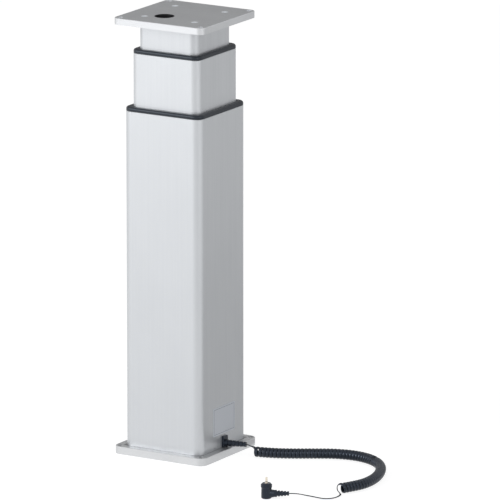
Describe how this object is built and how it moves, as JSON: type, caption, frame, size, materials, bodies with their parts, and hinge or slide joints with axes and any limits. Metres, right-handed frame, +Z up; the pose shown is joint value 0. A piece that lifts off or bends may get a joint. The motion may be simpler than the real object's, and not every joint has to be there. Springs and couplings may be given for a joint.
{
  "type": "electric lifting column",
  "caption": "Three-stage electric lifting column: square telescopic tubes on a bolted foot plate, a bolted top plate with a cable hole, and a curly control lead with a right-angle jack plug.",
  "frame": {"origin": "middle of the foot plate's underside, on the floor", "axes": "+Z up along the lift, -Y out of the plain front face, +X out of the face with the lead's inlet"},
  "size_m": [0.5206, 0.3217, 0.797],
  "materials": {
    "tube_aluminium": "satin",
    "plate_aluminium": "satin",
    "machined_aluminium": "satin",
    "cast_aluminium": "matte",
    "guide_plastic": "satin",
    "glide_plastic": "satin",
    "screw_steel": "satin",
    "bearing_steel": "polished",
    "spindle_steel": "satin",
    "gear_steel": "satin",
    "gear_plastic": "satin",
    "nut_bronze": "satin",
    "motor_paint": "satin",
    "motor_plastic": "matte",
    "board_laminate": "satin",
    "relay_plastic": "gloss",
    "capacitor_sleeve": "gloss",
    "terminal_plastic": "matte",
    "lead_rubber": "satin",
    "label_film": "satin",
    "pin_brass": "polished",
    "pin_insulator": "gloss"
  },
  "bodies": {
    "foot": {"base_plate": "plate_aluminium", "foot_screws": "screw_steel", "outer_tube": "tube_aluminium", "outer_ring": "guide_plastic", "outer_glides": "glide_plastic", "gearbox_housing": "cast_aluminium", "gearbox_screws": "screw_steel", "gearbox_lid": "cast_aluminium", "lid_screws": "screw_steel", "motor_screws": "screw_steel", "thrust_bearing": "bearing_steel", "motor_flange": "cast_aluminium", "motor_can": "motor_paint", "motor_cap": "motor_plastic", "control_board": "board_laminate", "board_standoffs": "spindle_steel", "board_relays": "relay_plastic", "board_capacitor": "capacitor_sleeve", "board_terminals": "terminal_plastic", "inlet_socket": "guide_plastic", "inlet_plug": "lead_rubber", "rating_label": "label_film", "lead_start": "lead_rubber", "lead_coil": "lead_rubber", "lead_end": "lead_rubber", "jack_body": "lead_rubber", "jack_sleeve": "pin_brass", "jack_insulator": "pin_insulator", "jack_tip_pin": "pin_brass"},
    "motor_shaft": {"motor_pinion": "gear_steel"},
    "intermediate_shaft": {"intermediate_gear": "gear_steel"},
    "lower_spindle": {"lower_screw": "spindle_steel", "screw_gear": "gear_plastic", "lower_stop": "spindle_steel"},
    "middle_stage": {"middle_tube": "tube_aluminium", "middle_ring": "guide_plastic", "middle_foot_glides": "glide_plastic", "middle_top_glides": "glide_plastic", "middle_carrier": "machined_aluminium", "middle_carrier_screws": "screw_steel", "lower_nut": "nut_bronze", "lower_nut_screws": "screw_steel", "hollow_bearing": "bearing_steel", "bearing_cover": "bearing_steel"},
    "hollow_spindle": {"hollow_screw": "spindle_steel", "drive_bush": "nut_bronze", "upper_stop": "spindle_steel"},
    "inner_stage": {"inner_tube": "tube_aluminium", "inner_foot_glides": "glide_plastic", "inner_carrier": "machined_aluminium", "inner_carrier_screws": "screw_steel", "upper_nut": "nut_bronze", "upper_nut_screws": "screw_steel", "top_plate": "plate_aluminium", "top_screws": "screw_steel"}
  },
  "joints": [
    {"name": "middle_slide", "type": "slide", "parent": "foot", "child": "middle_stage", "axis": [0, 0, 1], "range_m": [-0.04, 0.26]},
    {"name": "inner_slide", "type": "slide", "parent": "middle_stage", "child": "inner_stage", "axis": [0, 0, 1], "range_m": [-0.04, 0.26]},
    {"name": "lower_screw_spin", "type": "hinge", "parent": "foot", "child": "lower_spindle", "pos_m": [0, 0, 0.06], "axis": [0, 0, 1], "range_deg": [-1200, 7800]},
    {"name": "hollow_screw_spin", "type": "hinge", "parent": "middle_stage", "child": "hollow_spindle", "pos_m": [0, 0, 0.222], "axis": [0, 0, 1], "range_deg": [-1200, 7800]},
    {"name": "intermediate_gear_spin", "type": "hinge", "parent": "foot", "child": "intermediate_shaft", "pos_m": [-0.00685, 0.03241, 0.026], "axis": [0, 0, 1], "range_deg": [-19760, 3040]},
    {"name": "motor_spin", "type": "hinge", "parent": "foot", "child": "motor_shaft", "pos_m": [-0.036, 0.036, 0.028], "axis": [0, 0, 1], "range_deg": [-6485.33, 42154.67]}
  ],
  "couplings": [
    {"joint": "inner_slide", "follows": "middle_slide", "ratio": 1},
    {"joint": "lower_screw_spin", "follows": "middle_slide", "rad_per_m": 523.6},
    {"joint": "hollow_screw_spin", "follows": "middle_slide", "rad_per_m": 523.6},
    {"joint": "intermediate_gear_spin", "follows": "middle_slide", "rad_per_m": -1326.5},
    {"joint": "motor_spin", "follows": "middle_slide", "rad_per_m": 2829.8}
  ]
}
